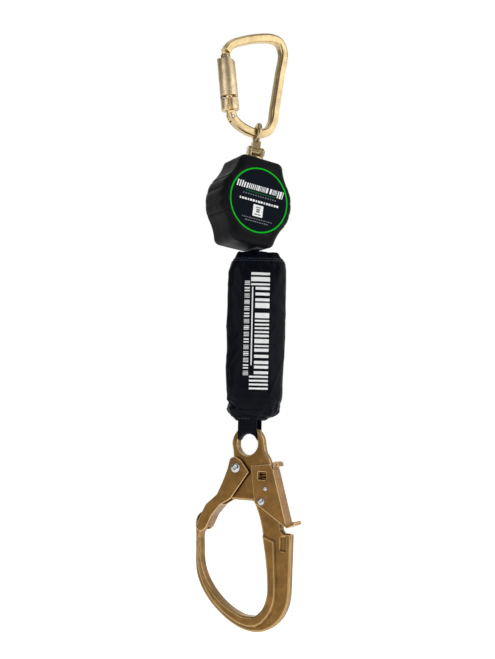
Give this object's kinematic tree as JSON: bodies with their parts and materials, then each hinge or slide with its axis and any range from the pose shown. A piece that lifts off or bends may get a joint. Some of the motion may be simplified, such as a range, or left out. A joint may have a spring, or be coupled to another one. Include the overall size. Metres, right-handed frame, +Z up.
{
  "type": "self retracting lifeline",
  "caption": "Self retracting web lifeline: a twist-lock carabiner and swivel over a round drum housing, a fabric shock pack and a large locking rebar hook.",
  "frame": {"origin": "top of the carabiner's inside, where it hangs on an anchor", "axes": "+Z up, the label faces -Y, +X to the right seen from the label side"},
  "size_m": [0.0979, 0.1157, 0.6964],
  "materials": {
    "gold_steel": "pale gold zinc plating, satin",
    "hook_steel": "brownish gold zinc plating over a forged surface",
    "sleeve_steel": "champagne plating, finely knurled",
    "zinc_steel": "bright zinc",
    "spring_steel": "oiled spring steel",
    "bronze": "plain bronze",
    "black_plastic": "fine moulded texture",
    "label_film": "printed film, satin",
    "drum_plastic": "glass filled nylon",
    "webbing": "woven polyester webbing",
    "pack_fabric": "woven nylon cover cloth"
  },
  "bodies": {
    "carabiner": {"carabiner_body": "gold_steel", "gate_hinge_pin": "zinc_steel"},
    "carabiner_gate": {"carabiner_gate": "gold_steel", "gate_latch_pin": "zinc_steel", "sleeve_guide_pin": "zinc_steel", "gate_plunger": "zinc_steel", "gate_spring": "spring_steel"},
    "lock_sleeve": {"lock_sleeve": "sleeve_steel", "sleeve_spring": "spring_steel"},
    "swivel_eye": {"swivel_eye": "gold_steel"},
    "swivel_yoke": {"swivel_yoke": "gold_steel", "yoke_pin": "zinc_steel", "swivel_washer": "bronze", "swivel_nut": "zinc_steel"},
    "housing": {"front_cover": "black_plastic", "rear_cover": "black_plastic", "front_label": "label_film", "rear_label": "label_film", "cover_screw_1": "zinc_steel", "cover_screw_2": "zinc_steel", "cover_screw_3": "zinc_steel", "cover_screw_4": "zinc_steel", "load_frame": "zinc_steel", "drum_shaft": "zinc_steel", "spring_arbor": "zinc_steel", "ratchet_ring": "zinc_steel", "web_guide": "drum_plastic", "web_lead": "webbing"},
    "drum": {"drum": "drum_plastic", "front_bushing": "bronze", "rear_bushing": "bronze", "spring_cover": "zinc_steel", "power_spring": "spring_steel", "web_coil": "webbing", "pawl_pin_1": "zinc_steel", "pawl_pin_2": "zinc_steel"},
    "pawl_1": {"pawl_1": "zinc_steel"},
    "pawl_2": {"pawl_2": "zinc_steel"},
    "lifeline": {"lifeline_web": "webbing", "absorber_cover": "pack_fabric", "absorber_core": "webbing", "hook_loop": "webbing"},
    "hook": {"hook_body": "hook_steel", "gate_rivet": "zinc_steel", "lock_rivet": "zinc_steel", "lock_spring": "bronze"},
    "hook_gate": {"hook_gate": "hook_steel"},
    "hook_lock": {"hook_lock": "hook_steel", "lock_stop_rivet": "zinc_steel"}
  },
  "joints": [
    {"name": "carabiner_gate_hinge", "type": "hinge", "parent": "carabiner", "child": "carabiner_gate", "pos_m": [-0.0356, 0, -0.097], "axis": [0, 1, 0], "range_deg": [0, 21], "stiffness_Nm_per_rad": 0.06, "springref_deg": -34.38},
    {"name": "sleeve_twist", "type": "hinge", "parent": "carabiner_gate", "child": "lock_sleeve", "pos_m": [-0.0356, 0, -0.097], "axis": [0.1276, 0, -0.9918], "range_deg": [0, 90], "stiffness_Nm_per_rad": 0.02, "springref_deg": -28.65},
    {"name": "eye_on_carabiner", "type": "hinge", "parent": "carabiner", "child": "swivel_eye", "pos_m": [0, 0, -0.1107], "axis": [1, 0, 0], "range_deg": [-75, 75]},
    {"name": "yoke_pin_hinge", "type": "hinge", "parent": "swivel_eye", "child": "swivel_yoke", "pos_m": [-0.00247, 0, -0.13306], "axis": [0.9644, -0.2419, -0.1064], "range_deg": [-40, 40]},
    {"name": "housing_swivel", "type": "hinge", "parent": "swivel_yoke", "child": "housing", "pos_m": [0, 0, -0.1107], "axis": [0.1096, 0, 0.994], "continuous": true},
    {"name": "payout", "type": "slide", "parent": "housing", "child": "lifeline", "axis": [0, 0, -1], "range_m": [0, 1.8], "stiffness_N_per_m": 5, "springref_m": -4, "deforming": ["lifeline_web"]},
    {"name": "drum_spin", "type": "hinge", "parent": "housing", "child": "drum", "pos_m": [-0.00947, 0, -0.19658], "axis": [0, 1, 0], "continuous": true},
    {"name": "pawl_1_swing", "type": "hinge", "parent": "drum", "child": "pawl_1", "pos_m": [0.00069, -0.0154, -0.17049], "axis": [0, -1, 0], "range_deg": [0, 27], "stiffness_Nm_per_rad": 0.004, "springref_deg": -34.38},
    {"name": "pawl_2_swing", "type": "hinge", "parent": "drum", "child": "pawl_2", "pos_m": [-0.01964, -0.0154, -0.22267], "axis": [0, -1, 0], "range_deg": [0, 27], "stiffness_Nm_per_rad": 0.004, "springref_deg": -34.38},
    {"name": "hook_swing", "type": "hinge", "parent": "lifeline", "child": "hook", "pos_m": [0, 0.0025, -0.45725], "axis": [0.5446, -0.8387, 0], "range_deg": [-60, 60], "deforming": ["hook_loop"]},
    {"name": "hook_gate_hinge", "type": "hinge", "parent": "hook", "child": "hook_gate", "pos_m": [-0.00664, 0.01273, -0.5016], "axis": [-0.8387, -0.5446, 0], "range_deg": [0, 42], "stiffness_Nm_per_rad": 0.15, "springref_deg": -34.38},
    {"name": "hook_lock_hinge", "type": "hinge", "parent": "hook", "child": "hook_lock", "pos_m": [0.01166, -0.01545, -0.5376], "axis": [0.8387, 0.5446, 0], "range_deg": [0, 9], "stiffness_Nm_per_rad": 0.5, "springref_deg": -17.19}
  ],
  "couplings": [
    {"joint": "drum_spin", "follows": "payout", "rad_per_m": 33.161}
  ]
}
